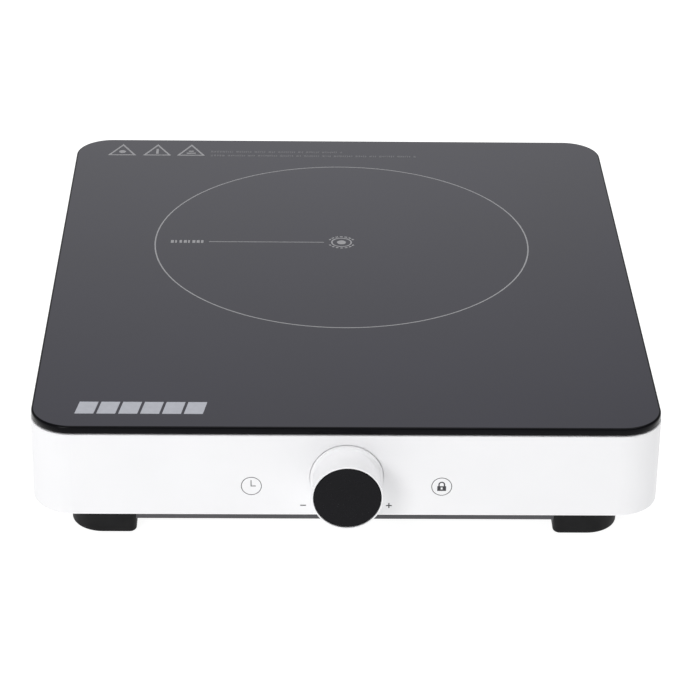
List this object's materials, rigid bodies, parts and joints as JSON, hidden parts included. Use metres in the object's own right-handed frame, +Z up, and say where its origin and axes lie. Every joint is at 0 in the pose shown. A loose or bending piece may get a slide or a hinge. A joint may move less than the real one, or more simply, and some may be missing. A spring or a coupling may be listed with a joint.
{
  "type": "radiant hot plate",
  "caption": "Low rectangular table-top hot plate: flat glass cooking surface on a plastic shell, push-and-turn dial with a display in its face, vented base pan on short feet.",
  "frame": {"origin": "on the table, at the bottom centre of the bounding box, so under the middle of the plate and 6 mm in front of it", "axes": "+Z up, the dial and the front panel face -Y, +Y towards the cord gland at the back, +X to the right of a person facing the dial"},
  "size_m": [0.3008, 0.3676, 0.068],
  "materials": {
    "black_glass": "gloss black ceramic glass",
    "white_shell": "satin white moulded plastic",
    "grey_pan": "satin dark grey",
    "black_rubber": "matt black",
    "black_plastic": "matt black",
    "black_lens": "gloss smoked display window",
    "bright_screw": "zinc plated",
    "spring_steel": "plain",
    "plated_sheet": "plated steel sheet",
    "heater_wire": "dark oxidised resistance ribbon",
    "insulation": "matt pressed fibre",
    "quartz": "clear quartz tube",
    "white_ceramic": "matt",
    "white_nylon": "natural nylon",
    "green_board": "solder mask green laminate",
    "silicone": "silicone adhesive",
    "brass_blade": "tinned brass",
    "aluminium": "extruded",
    "dark_component": "moulded component",
    "yellow_component": "moulded component",
    "winding": "wound bobbin",
    "laminated_core": "ferrite",
    "fuse_glass": "glass fuse",
    "dark_lead": "sleeved lead",
    "green_lead": "earth lead",
    "flat_cable": "grey flat cable"
  },
  "bodies": {
    "base": {"base_pan": "grey_pan", "base_screws": "bright_screw", "blade_tabs": "brass_blade", "board_sockets": "white_nylon", "buzzer": "dark_component", "capacitors": "yellow_component", "control_board": "green_board", "cord_clamp": "black_plastic", "cord_gland": "black_plastic", "display_cable": "flat_cable", "display_lead": "flat_cable", "earth_lead": "green_lead", "encoder_body": "dark_component", "fan_frame": "dark_component", "fan_lead": "dark_lead", "fan_stator": "laminated_core", "foot_front_left": "black_rubber", "foot_front_right": "black_rubber", "foot_rear_left": "black_rubber", "foot_rear_right": "black_rubber", "foot_screws": "bright_screw", "fuse": "fuse_glass", "glass_seal": "silicone", "glass_top": "black_glass", "heat_baffle": "aluminium", "heater_dish": "plated_sheet", "heater_leads": "dark_lead", "heater_springs": "spring_steel", "heating_ribbon": "heater_wire", "heatsink": "aluminium", "housing": "white_shell", "inner_screws": "bright_screw", "insulation_base": "insulation", "insulation_ring": "insulation", "knob_guide": "white_nylon", "limiter_rod": "quartz", "limiter_switch": "white_ceramic", "mains_leads": "dark_lead", "power_board": "green_board", "rear_panel": "white_shell", "relay": "dark_component", "return_spring": "spring_steel", "switch_body": "dark_component", "terminal_block": "white_ceramic", "touch_springs": "spring_steel", "transformer_core": "laminated_core", "transformer_winding": "winding", "triac": "dark_component"},
    "knob_carriage": {"display_holder": "black_plastic", "retaining_clip": "spring_steel", "knob_lens": "black_lens", "display_board": "green_board", "led_display": "dark_component", "switch_plunger": "dark_component"},
    "knob": {"knob_ring": "white_shell", "knob_bush": "white_nylon", "drive_gear": "white_nylon"},
    "encoder_rotor": {"encoder_shaft": "bright_screw", "encoder_pinion": "white_nylon"},
    "fan_wheel": {"fan_rotor": "black_plastic"}
  },
  "joints": [
    {"name": "knob_press", "type": "slide", "parent": "base", "child": "knob_carriage", "axis": [0, 1, 0], "range_m": [0, 0.0006], "stiffness_N_per_m": 1500, "springref_m": -0.001, "deforming": ["return_spring", "display_lead"]},
    {"name": "knob_turn", "type": "hinge", "parent": "knob_carriage", "child": "knob", "pos_m": [0, -0.1644, 0.0414], "axis": [0, 1, 0], "continuous": true},
    {"name": "encoder_turn", "type": "hinge", "parent": "base", "child": "encoder_rotor", "pos_m": [0.023, -0.1644, 0.0414], "axis": [0, 1, 0], "continuous": true},
    {"name": "fan_spin", "type": "hinge", "parent": "base", "child": "fan_wheel", "pos_m": [0.076, -0.098, 0.02], "axis": [0, 0, 1], "continuous": true}
  ],
  "couplings": [
    {"joint": "encoder_turn", "follows": "knob_turn", "ratio": -2.2857}
  ]
}
